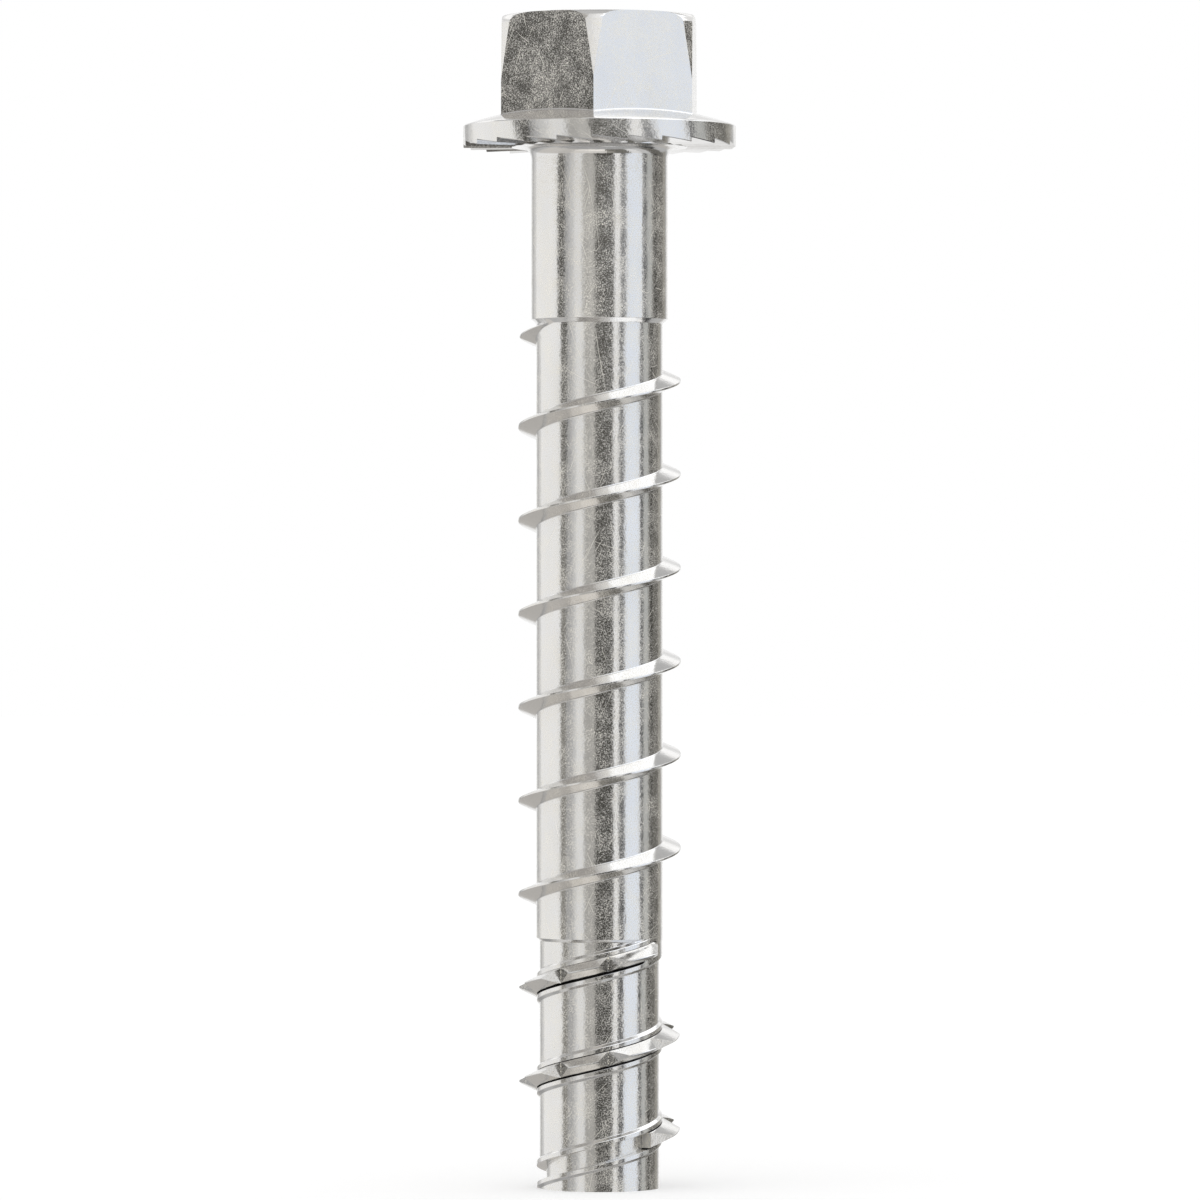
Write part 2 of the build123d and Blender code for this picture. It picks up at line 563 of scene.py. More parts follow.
def scratch_group() -> Tree:
    """Slightly curved hair scratches in several directions.

    Returns:
        The group, which puts out a mask that is 1 on a scratch.
    """
    inputs = {"Scale": 520.0, "Width": 0.014, "Amount": 1.0}
    tree, source, target = new_group("hair_scratches", inputs, ["Mask"])
    scale = source["Scale"]
    bend_scale, bend_gain = SCRATCH_BEND
    total = 0.0
    for index, lean in enumerate(SCRATCH_LEANS):
        offset = SCRATCH_SHIFT * (index + 1)
        split = tree.nodes.new("ShaderNodeSeparateXYZ")
        set_input(split.inputs["Vector"], stretched_coords(tree, EVEN_SCALE, offset, lean))
        bend = noise_value(tree, stretched_coords(tree, EVEN_SCALE, offset), bend_scale, detail=0.0)
        across = math_node(tree, "MULTIPLY", split.outputs["X"], scale)
        across = math_node(tree, "ADD", across, math_node(tree, "MULTIPLY", bend, bend_gain))
        line = math_node(tree, "SUBTRACT", math_node(tree, "FRACT", across), 0.5)
        line = math_node(tree, "DIVIDE", math_node(tree, "ABSOLUTE", line), source["Width"])
        line = math_node(tree, "MAXIMUM", math_node(tree, "SUBTRACT", 1.0, line), 0.0)
        patch_coords = stretched_coords(tree, PATCH_STRETCH, offset * PATCH_SCALE, lean)
        patch_scale = math_node(tree, "MULTIPLY", scale, PATCH_SCALE)
        patch = noise_value(tree, patch_coords, patch_scale, detail=0.0)
        line = math_node(tree, "MULTIPLY", line, clipped(tree, patch, *PATCH_EDGE))
        total = math_node(tree, "MAXIMUM", total, line)
    set_input(target["Mask"], math_node(tree, "MULTIPLY", total, source["Amount"]))
    return tree


def drift_group() -> Tree:
    """Slow drift of the finish over the surface.

    Returns:
        The group, which puts out a value round 0.5.
    """
    tree, source, target = new_group("surface_drift", {"Scale": 300.0}, ["Value"])
    coords = stretched_coords(tree, DRIFT_STRETCH, DRIFT_SHIFT)
    set_input(target["Value"], noise_value(tree, coords, source["Scale"], detail=3.0))
    return tree


@dataclass(frozen=True)
class SteelFinish:
    """Bright metal with grain, dull flecks, hair scratches, a slow drift of its gloss, and painted shade
    where a piece marks its recesses.
    """

    name: str
    colour: Colour
    dull_colour: Colour              # where the drift is at its highest
    roughness: float                 # in the middle of the drift
    roughness_spread: float          # from its lowest to its highest
    grain_height: float              # in metres
    flecks: float                    # a higher value gives more and stronger flecks
    scratches: float                 # strength of the scratches
    grain_scale: float = 4200.0
    fleck_colour: Colour = (0.95, 0.90, 0.78)
    fleck_cover: float = 0.9         # how much of the metal's mirror a fleck takes away
    fleck_roughness: float = 0.25    # what it adds to the roughness
    # near black: the colour of the painted shade in the recesses round the coil
    shade_colour: Colour = (0.02, 0.018, 0.016)
    roughest: float = 0.9            # nothing is rougher than this

    def build(self, groups: dict[str, Tree]) -> bpy.types.Material:
        """Make the material.

        Args:
            groups: the shared node groups by name.

        Returns:
            The material.
        """
        material = bpy.data.materials.new(self.name)
        material.use_nodes = True
        tree = material.node_tree
        shader = tree.nodes["Principled BSDF"].inputs
        grain = placed(tree, groups["grain"], {"Scale": self.grain_scale, "Flecks": self.flecks})
        scratch = placed(tree, groups["scratch"], {"Amount": self.scratches})
        drift = placed(tree, groups["drift"], {}).outputs["Value"]
        # Painted shade: where the mask is 1, the colour goes near black, the mirror goes and the metal
        # roughens, standing in for the shade in the groove's recess
        shade_mask = attribute(tree, RECESS_SHADE)

        dull = math_node(tree, "MAXIMUM", grain.outputs["Fleck"], scratch.outputs["Mask"])
        dull = math_node(tree, "MULTIPLY", dull, attribute(tree, WEAR))
        dull = math_node(tree, "MINIMUM", dull, 1.0)
        colour = mixed(tree, drift, self.colour, self.dull_colour)
        colour = mixed(tree, dull, colour, self.fleck_colour)
        set_input(shader["Base Color"], mixed(tree, shade_mask, colour, self.shade_colour))
        scatter = math_node(tree, "MULTIPLY", dull, self.fleck_cover)
        scatter = math_node(tree, "MAXIMUM", scatter, shade_mask)
        set_input(shader["Metallic"], math_node(tree, "SUBTRACT", 1.0, scatter))

        rough = math_node(tree, "MULTIPLY", drift, self.roughness_spread)
        rough = math_node(tree, "ADD", rough, self.roughness - self.roughness_spread / 2)
        rough = math_node(tree, "ADD", rough, math_node(tree, "MULTIPLY", dull, self.fleck_roughness))
        rough = math_node(tree, "ADD", rough, shade_mask)
        set_input(shader["Roughness"], math_node(tree, "MINIMUM", rough, self.roughest))

        bump = tree.nodes.new("ShaderNodeBump")
        bump.inputs["Strength"].default_value = 1.0
        bump.inputs["Distance"].default_value = self.grain_height
        set_input(bump.inputs["Height"], grain.outputs["Height"])
        set_input(shader["Normal"], bump.outputs["Normal"])
        return material


STAINLESS = SteelFinish(
    name="rolled_stainless",
    colour=(0.812, 0.805, 0.80),
    dull_colour=(0.722, 0.715, 0.702),
    roughness=0.12,
    roughness_spread=0.07,
    grain_height=7e-6,
    flecks=0.16,
    scratches=0.95,
)

HARDENED = SteelFinish(
    name="hardened_strip",
    colour=(0.787, 0.78, 0.77),
    dull_colour=(0.717, 0.71, 0.695),
    roughness=0.15,
    roughness_spread=0.07,
    grain_height=6e-6,
    flecks=0.06,
    scratches=0.4,
)


# The screw's sub-assemblies


@dataclass(frozen=True)
class HelixLine:
    """Right-hand helix of the thread and of the band on the tip."""

    pitch: float = 9.125
    front_height: float = 21.73      # where it passes the front at an angle of 0

    def height(self, turn: float) -> float:
        """Height at an angle round the helix."""
        return self.front_height + self.pitch * turn / FULL_TURN

    def turn_at(self, height: float) -> float:
        """Angle round the helix at a height."""
        return (height - self.front_height) * FULL_TURN / self.pitch

    def locate(self, point: Vector) -> tuple[float, float]:
        """Where a point lies on the helix.

        Args:
            point: the point, in millimetres.

        Returns:
            The angle round the helix and the height above it there, within half a pitch.
        """
        turn = math.degrees(math.atan2(point.y, point.x)) - FRONT
        turn += FULL_TURN * round((point.z - self.height(turn)) / self.pitch)
        return turn, point.z - self.height(turn)


@dataclass
class Shaft:
    """Tip with its grooved band, core with the thread, shoulder, shank and seat fillet."""

    helix: HelixLine = field(default_factory=HelixLine)
    steps_per_turn: int = 120
    under_head: float = 101.6        # end face to the bearing plane of the head
    shoulder: float = 84.8           # end face to the top of the shoulder's chamfer
    tip_length: float = 24.45        # end face to the step
    shank_radius: float = 6.66
    core_radius: float = 6.17
    tip_radius: float = 5.845
    shoulder_chamfer: float = 0.44
    step_chamfer: float = 0.30
    edge_round: float = 0.05
    mouth_round: float = 0.03
    hold: float = 0.04               # how far beside a rounding the faces are held flat

    thread_radius: float = 7.95
    thread_root: float = 1.56        # width at the core
    thread_crest: float = 0.20       # width at the top
    root_fillet: float = 0.12
    run_out: float = 75.0            # angle in which the thread sinks into the core above the tip
    run_in: float = 55.0             # and the same under the shoulder
    run_in_lap: float = 0.18         # how far the sunk end reaches over the shoulder's foot
    sunk: float = 0.056              # share of its height that the thread's ends start under the core
    least_width: float = 0.25        # share of its width that they keep

    lip_radius: float = 6.14
    lip_width: float = 0.42
    lip_chamfer: float = 0.26
    groove_width: float = 1.72
    groove_floor: float = 5.18       # its radius
    coil_drop: float = 1.17          # the coil's upper end lies this far below the step
    groove_lead: float = 6.9         # angle by which the groove starts ahead of the coil
    coil_sweep: float = 726.26       # angle that the coil takes up
    seat_sweep: float = 15.0         # angle in which the groove grips the coil's upper end
    seat_step: float = 0.18          # how much narrower the groove is there
    seat_ease: float = 4.0           # angle in which the seat's wall rises

    seat_fillet: float = 1.15
    buried: float = 0.5              # how far the shaft's upper end reaches into the head
    tucked: float = 0.2              # and how far in it is drawn there
    core_wear: float = 0.9

    @property
    def grid(self) -> float:
        """Angle of one step round the axis."""
        return FULL_TURN / self.steps_per_turn

    @property
    def shoulder_foot(self) -> float:
        """Height where the shoulder's chamfer starts."""
        return self.shoulder - self.shoulder_chamfer

    @property
    def coil_end(self) -> float:
        """Angle round the helix of the coil's upper end."""
        return self.helix.turn_at(self.tip_length - self.coil_drop)

    def thread_section(self) -> list[Point]:
        """Section of one pitch of core and thread.

        Returns:
            The section's points.
        """
        half = self.helix.pitch / 2
        root, crest = self.thread_root / 2, self.thread_crest / 2
        core, top = self.core_radius, self.thread_radius
        lower = [(core, -half), (core, -half / 2), (core, -root), (top, -crest)]
        upper = [(top, crest), (core, root), (core, half / 2), (core, half)]
        fillet, edge = self.root_fillet, self.edge_round
        return rounded([*lower, *upper], {2: fillet, 3: edge, 4: edge, 5: fillet}, 3, self.hold)

    def band_section(self, grooved: bool) -> list[Point]:
        """Section of one pitch of the tip with its band.

        Args:
            grooved: whether the coil's groove is cut in the band.

        Returns:
            The section's points.
        """
        half = self.helix.pitch / 2
        mouth = self.groove_width / 2
        crest = mouth + self.lip_width
        foot = crest + self.lip_chamfer
        tip, lip, floor, edge = self.tip_radius, self.lip_radius, self.groove_floor, self.edge_round
        lower = [(tip, -half), (tip, -half / 2 - foot / 2), (tip, -foot), (lip, -crest)]
        upper = [(lip, crest), (tip, foot), (tip, half / 2 + foot / 2), (tip, half)]
        cut = [(lip, -mouth), (floor, -mouth), (floor, mouth), (lip, mouth)]
        brim = self.mouth_round
        rounds = {2: edge, 3: edge * 2, 4: brim, 5: edge, 6: edge, 7: brim, 8: edge * 2, 9: edge}
        section = rounded([*lower, *cut, *upper], rounds, 3, self.hold / 2)
        if grooved:
            return section
        return [spot for spot in section if abs(spot[1]) > mouth + brim * 0.9]

    def crown_rings(self) -> list[Point]:
        """Rings from the top of the core over the shoulder and the shank into the head.

        Returns:
            Each ring's radius and height.
        """
        shank, under_head = self.shank_radius, self.under_head
        corners = [
            (self.core_radius, self.shoulder_foot),
            (shank, self.shoulder),
            (shank, under_head),
            (shank + 2 * self.seat_fillet, under_head),
        ]
        # The fillet ends on the bearing plane, so the two points past it are dropped
        rings = rounded(corners, {1: self.edge_round * 1.5, 2: self.seat_fillet}, 12, self.hold)[:-2]
        return [*rings, (rings[-1][0] - self.tucked, under_head + self.buried)]

    def _screw(self, mesh: Mesh, section: Sequence[Point], start: float, steps: int) -> None:
        """Screw a section along the helix.

        Args:
            mesh: the bmesh that takes the surface.
            section: the section's points.
            start: angle round the helix of the first copy.
            steps: number of steps upwards, or less than 0 to go down.
        """
        helix = self.helix
        sweep = steps * self.grid
        spin_section(mesh, section, start + FRONT, sweep, abs(steps), helix.pitch, helix.height(start))

    def thread_share(self, turn: float) -> float:
        """How much of the thread's height stands at an angle round the helix.

        Args:
            turn: the angle.

        Returns:
            A share from 0, beyond the thread's ends, to 1.
        """
        lowest = self.helix.turn_at(self.tip_length + self.thread_root / 2)
        highest = self.helix.turn_at(self.shoulder_foot + self.run_in_lap)
        share = min((turn - lowest) / self.run_out, (highest - turn) / self.run_in)
        return min(max((1.0 + self.sunk) * share - self.sunk, 0.0), 1.0)

    def thread(self) -> Mesh:
        """Core with its thread, from the step up to the shoulder.

        Returns:
            A bmesh that is open at both ends.
        """
        helix, core = self.helix, self.core_radius
        low, high = self.tip_length + self.edge_round, self.shoulder_foot
        first = math.floor(helix.turn_at(low - helix.pitch / 2) / self.grid) - 1
        last = math.ceil(helix.turn_at(high + helix.pitch / 2) / self.grid) + 1
        mesh = bmesh.new()
        self._screw(mesh, self.thread_section(), first * self.grid, last - first)
        reach = self.thread_root / 2 + self.root_fillet
        for vert in mesh.verts:
            turn, offset = helix.locate(vert.co)
            share = self.thread_share(turn)
            if abs(offset) < reach and share < 1.0:
                set_radius(vert, core + (radius_of(vert) - core) * share)
                vert.co.z = helix.height(turn) + offset * max(share, self.least_width)
        merge_near(mesh)
        cut_level(mesh, low, Keep.ABOVE)
        cut_level(mesh, high, Keep.BELOW)
        return mesh

    def tip(self) -> Mesh:
        """Tip with its band and the coil's groove, from the end face up to the step.

        Returns:
            A bmesh that is open at the top.
        """
        half = self.helix.pitch / 2
        blind = self.coil_end + self.groove_lead
        below = round((blind - self.helix.turn_at(-half)) / self.grid) + 1
        above = round((self.helix.turn_at(self.tip_length + half) - blind) / self.grid) + 1
        mesh = bmesh.new()
        self._screw(mesh, self.band_section(grooved=False), blind, above)
        self._screw(mesh, self.band_section(grooved=True), blind, -below)
        merge_near(mesh)
        self._close_groove(mesh, blind)
        self._tighten_seat(mesh)
        self._blend_step(mesh)
        cut_level(mesh, 0.0, Keep.ABOVE)
        bmesh.ops.edgeloop_fill(mesh, edges=level_rim(mesh, 0.0))
        return mesh

    def _close_groove(self, mesh: Mesh, blind: float) -> None:
        """Fill the wall at the groove's blind end.

        Args:
            mesh: the tip's bmesh.
            blind: angle round the helix of that end.
        """
        mouth = self.groove_width / 2 + self.edge_round * 1.5
        wall = []
        for edge in mesh.edges:
            if not edge.is_boundary:
                continue
            spots = [self.helix.locate(vert.co) for vert in edge.verts]
            if all(abs(turn - blind) < self.grid / 2 and abs(offset) < mouth for turn, offset in spots):
                wall.append(edge)
        bmesh.ops.edgeloop_fill(mesh, edges=wall)

    def _tighten_seat(self, mesh: Mesh) -> None:
        """Raise the groove's lower wall where it grips the coil's upper end.

        Args:
            mesh: the tip's bmesh.
        """
        start = self.coil_end - self.seat_sweep
        for vert in mesh.verts:
            turn, offset = self.helix.locate(vert.co)
            if turn >= start and abs(offset + self.groove_width / 2) <= self.edge_round * 2.5:
                vert.co.z += self.seat_step * ease((turn - start) / self.seat_ease)

    def _blend_step(self, mesh: Mesh) -> None:
        """Flare the tip to the core at the step, through the band but not in the groove.

        Args:
            mesh: the tip's bmesh.
        """
        low = self.tip_length - self.step_chamfer
        skin = self.tip_radius - 10 * SLACK
        cut_level(mesh, self.tip_length, Keep.BELOW)
        cut_level(mesh, low)
        for vert in mesh.verts:
            radius = radius_of(vert)
            share = (vert.co.z - low) / self.step_chamfer
            if share > 0.0 and radius > skin:
                flare = self.tip_radius + (self.core_radius - self.tip_radius) * min(share, 1.0)
                set_radius(vert, max(radius, flare))

    def _paint_recess_shade(self, mesh: Mesh) -> None:
        """Paint shade on the groove's floor and walls where the coil sits in it.

        Args:
            mesh: the shaft's bmesh.
        """
        shade_mask = mesh.faces.layers.float.new(RECESS_SHADE)
        for face in mesh.faces:
            spot = face.calc_center_median()
            turn, offset = self.helix.locate(spot)
            # Painted shade: faces down in the groove, along the turns that the coil takes up
            seated = self.coil_end - self.coil_sweep < turn < self.coil_end
            inside = abs(offset) < self.groove_width / 2 + SLACK and spot.z > 2 * SLACK
            if seated and inside and spot.xy.length < self.lip_radius - self.mouth_round:
                face[shade_mask] = 1.0

    def _wear_at(self, face: Face) -> float:
        """Wear of a face: a little less on the core and the tip than on the shank."""
        return self.core_wear if face.calc_center_median().z < self.shoulder else 1.0

    def build(self, material: bpy.types.Material) -> bpy.types.Object:
        """Build the shaft as one closed mesh.

        Args:
            material: its finish.

        Returns:
            The finished piece.
        """
        mesh = self.thread()
        rim = level_rim(mesh, self.shoulder_foot)
        for radius, height in self.crown_rings()[1:]:
            rim = extend_rim(mesh, rim, partial(at_ring, radius=radius, height=height))
        bmesh.ops.edgeloop_fill(mesh, edges=rim)

        tip = self.tip()
        carrier = bpy.data.meshes.new("carrier")
        tip.to_mesh(carrier)
        tip.free()
        mesh.from_mesh(carrier)
        bpy.data.meshes.remove(carrier)
        seam = level_rim(mesh, self.tip_length) + level_rim(mesh, self.tip_length + self.edge_round)
        bmesh.ops.bridge_loops(mesh, edges=seam)
        self._paint_recess_shade(mesh)
        mark_wear(mesh, self._wear_at)
        return finish_piece(mesh, "screw_shaft", material, "anchor_body")


@dataclass
class Head:
    """Hexagon, washer and the ratchet teeth under it."""

    bearing: float = 101.6           # height of the bearing plane
    height: float = 12.8             # bearing plane to the top
    across_flats: float = 18.56
    wall_height: float = 6.3         # bearing plane to where the corners start to lean in
    corner_draft: float = 4.6        # angle by which they lean
    crown_radius: float = 1.0        # rolled edge round the top
    corner_soft: float = 0.06        # bevel between the flats and the leaning corners
    soft_start: float = 1.5          # height over the washer's rim where it starts
    soft_depth: float = 1.2          # how far inside the flats it still runs
    soft_turn: float = 12.0          # the least angle of an edge that it takes
    base_fillet: float = 0.18        # between hexagon and washer
    washer_radius: float = 13.325
    washer_rim: float = 2.1          # height of the rim
    washer_slope: float = 15.6       # angle of the washer's upper face
    washer_dome: float = 0.08        # rise of that face's middle over a straight slope
    rim_round: float = 0.12
    rim_break: float = 0.07          # at the rim's toothed lower edge
    teeth: int = 24
    tooth_depth: float = 0.42        # measured at the rim
    tooth_ring: float = 8.6          # radius of the plain ring that the teeth stop at
    tooth_steps: int = 6             # vertices in a ring for each tooth
    tooth_draft: float = 0.02        # half the angle that a tooth's steep side takes up
    ring_step: float = 0.03          # width of the step from the teeth to the plain ring
    inner_radius: float = 7.0        # where the underside ends, inside the shaft's fillet
    rim_wear: float = 0.7
    wall_wear: float = 0.1           # on the teeth's steep walls

    @property
    def flat_radius(self) -> float:
        """Distance from the axis to a flat."""
        return self.across_flats / 2

    @property
    def steps(self) -> int:
        """Vertices in a full ring."""
        return self.teeth * self.tooth_steps

    @property
    def fillet_lift(self) -> float:
        """Height of the base fillet's centre above the washer's sloping face."""
        return self.base_fillet / math.cos(math.radians(self.washer_slope))

    def outline_radius(self, azimuth: float) -> float:
        """Distance from the axis to the hexagon's outline at an azimuth."""
        off = (azimuth + 30.0) % 60.0 - 30.0
        return self.flat_radius / math.cos(math.radians(off))

    def washer_height(self, radius: float) -> float:
        """Height of the washer's upper face, which slopes and is slightly domed.

        Args:
            radius: distance from the axis.

        Returns:
            The height.
        """
        run = self.washer_radius - self.flat_radius
        share = (self.washer_radius - radius) / run
        slope = math.tan(math.radians(self.washer_slope))
        dome = 4.0 * self.washer_dome * share * (1.0 - share)
        return self.bearing + self.washer_rim + slope * run * share + dome

    def tooth_azimuth(self, azimuth: float) -> float:
        """Move a vertex's azimuth to the pattern of the teeth, with their steep sides.

        Args:
            azimuth: where the vertex stands in an evenly spaced ring.

        Returns:
            The new azimuth.
        """
        pitch = FULL_TURN / self.teeth
        tooth, step = divmod(round((azimuth - FRONT) / (pitch / self.tooth_steps)), self.tooth_steps)
        inner = (pitch - 2 * self.tooth_draft) / (self.tooth_steps - 1)
        return FRONT + tooth * pitch + self.tooth_draft + step * inner

    def tooth_lift(self, azimuth: float, radius: float) -> float:
        """How far the underside is raised above the bearing plane."""
        share = ((azimuth - FRONT) % (FULL_TURN / self.teeth)) * self.teeth / FULL_TURN
        return self.tooth_depth * radius / self.washer_radius * (1.0 - share)

    def hexagon(self) -> Mesh:
        """Hexagon with its leaning corners and rolled crown.

        Returns:
            A bmesh that is open at the bottom.
        """
        corner = self.outline_radius(FRONT)
        outer = corner + PAST
        base, top = self.bearing + self.washer_rim, self.bearing + self.height
        wall_top = self.bearing + self.wall_height
        lean = (top - wall_top) * math.tan(math.radians(self.corner_draft))
        wall = [(0.0, base), (outer, base), (outer, wall_top), (corner, wall_top)]
        crown = [(corner - lean, top), (0.0, top)]
        mesh = bmesh.new()
        section = rounded([*wall, *crown], {len(wall): self.crown_radius}, 8)
        spin_section(mesh, section, FRONT, FULL_TURN, self.steps)
        merge_near(mesh)
        for side in range(6):
            normal = polar(1.0, 60.0 * side, 0.0)
            cut = cut_plane(mesh, normal * self.flat_radius, normal, Keep.BELOW)
            bmesh.ops.edgeloop_fill(mesh, edges=cut)
        floor = [f for f in mesh.faces if all(abs(v.co.z - base) < FLAT for v in f.verts)]
        bmesh.ops.delete(mesh, geom=floor, context="FACES")
        return mesh

    def rings(self) -> list[Callable[[float], Spot]]:
        """Rings from the hexagon's foot over the washer and its rim to the underside's inner end.

        Returns:
            For each ring, a function from an even azimuth to the spot there.
        """
        arc = (25.0, 50.0, 90.0 - self.washer_slope)
        upper = (0.2, 0.4, 0.6, 0.8, 0.93, 1.0)
        rim = ((0.5, 0.26), (1.0, 0.0))
        toothed = (12.2, 11.0, 9.8, self.tooth_ring)
        plain = (self.tooth_ring - self.ring_step, self.inner_radius)
        return [
            *(partial(self._fillet_spot, angle=angle) for angle in arc),
            *(partial(self._washer_spot, share=share) for share in upper),
            *(partial(self._rim_spot, down=down, inward=inward) for down, inward in rim),
            partial(self._edge_spot, up=self.rim_break),
            partial(self._edge_spot, inward=self.rim_break),
            *(partial(self._edge_spot, inward=self.washer_radius - radius) for radius in toothed),
            *(partial(self._flat_spot, radius=radius) for radius in plain),
        ]

    def _fillet_spot(self, azimuth: float, angle: float) -> Spot:
        """Spot on the fillet between the hexagon and the washer.

        Args:
            azimuth: azimuth of the spot.
            angle: how far it lies round the fillet, from the hexagon's wall.

        Returns:
            The spot.
        """
        centre = self.outline_radius(azimuth) + self.base_fillet
        height = self.washer_height(centre) + self.fillet_lift
        turn = math.radians(angle)
        return (
            centre - self.base_fillet * math.cos(turn),
            azimuth,
            height - self.base_fillet * math.sin(turn),
        )

    def _washer_spot(self, azimuth: float, share: float) -> Spot:
        """Spot on the washer's upper face.

        Args:
            azimuth: azimuth of the spot.
            share: where it lies between the fillet, at 0, and the rim's edge.

        Returns:
            The spot.
        """
        slope = math.radians(self.washer_slope)
        start = self.outline_radius(azimuth) + self.base_fillet * (1.0 - math.sin(slope))
        radius = start + (self.washer_radius - self.rim_round - start) * share
        return radius, azimuth, self.washer_height(radius)

    def _rim_spot(self, azimuth: float, down: float, inward: float) -> Spot:
        """Spot on the rounded upper edge of the rim, by shares of its radius."""
        top = self.washer_height(self.washer_radius - self.rim_round)
        return self.washer_radius - inward * self.rim_round, azimuth, top - self.rim_round * down

    def _edge_spot(self, azimuth: float, inward: float = 0.0, up: float = 0.0) -> Spot:
        """Spot on the toothed underside or on its outer edge.

        Args:
            azimuth: azimuth of the spot before it is moved to the teeth.
            inward: how far inside the rim it lies.
            up: how far above the underside.

        Returns:
            The spot.
        """
        radius = self.washer_radius - inward
        moved = self.tooth_azimuth(azimuth)
        return radius, moved, self.bearing + self.tooth_lift(moved, radius) + up

    def _flat_spot(self, azimuth: float, radius: float) -> Spot:
        """Spot on the plain ring inside the teeth."""
        return radius, azimuth, self.bearing

    def build(self, material: bpy.types.Material) -> bpy.types.Object:
        """Build the head as one closed mesh.

        Args:
            material: its finish.

        Returns:
            The finished piece.
        """
        mesh = self.hexagon()
        even = mesh.verts.layers.float.new(EVEN)
        rim = [edge for edge in mesh.edges if edge.is_boundary]
        for vert in {vert for edge in rim for vert in edge.verts}:
            vert.co.z = self.washer_height(radius_of(vert) + self.base_fillet) + self.fillet_lift
            azimuth = math.degrees(math.atan2(vert.co.y, vert.co.x))
            vert[even] = FRONT + round((azimuth - FRONT) * self.steps / FULL_TURN) * FULL_TURN / self.steps
        for place in self.rings():
            rim = extend_rim(mesh, rim, lambda vert, place=place: polar(*place(vert[even])))
        bmesh.ops.edgeloop_fill(mesh, edges=rim)
        self._soften_corners(mesh)
        mark_wear(mesh, self._wear_at)
        return finish_piece(mesh, "screw_head", material, "anchor_body")

    def _wear_at(self, face: Face) -> float:
        """Wear of a face: full on the flats, less on the rim, little between the teeth.

        Args:
            face: the face.

        Returns:
            The wear that it has where it is upright.
        """
        spot = face.calc_center_median()
        if spot.z < self.bearing + self.tooth_depth:
            return self.wall_wear
        return self.rim_wear if spot.xy.length > self.washer_radius - self.rim_round else 1.0

    def _soften_corners(self, mesh: Mesh) -> None:
        """Take the sharpness off the edges between the flats and the leaning corners.

        Args:
            mesh: the head's bmesh.
        """
        foot = self.bearing + self.washer_rim + self.soft_start
        inner = self.flat_radius - self.soft_depth
        turned = math.radians(self.soft_turn)
        edges = []
        for edge in mesh.edges:
            ends = [vert.co for vert in edge.verts]
            outside = min(end.z for end in ends) > foot and (sum(ends, Vector()) / 2).xy.length > inner
            if outside and len(edge.link_faces) == 2 and edge.calc_face_angle() > turned:
                edges.append(edge)
        bmesh.ops.bevel(
            mesh,
            geom=edges,
            offset=self.corner_soft,
            offset_type="OFFSET",
            segments=2,
            profile=0.5,
            affect="EDGES",
            clamp_overlap=True,
            material=-1,
        )


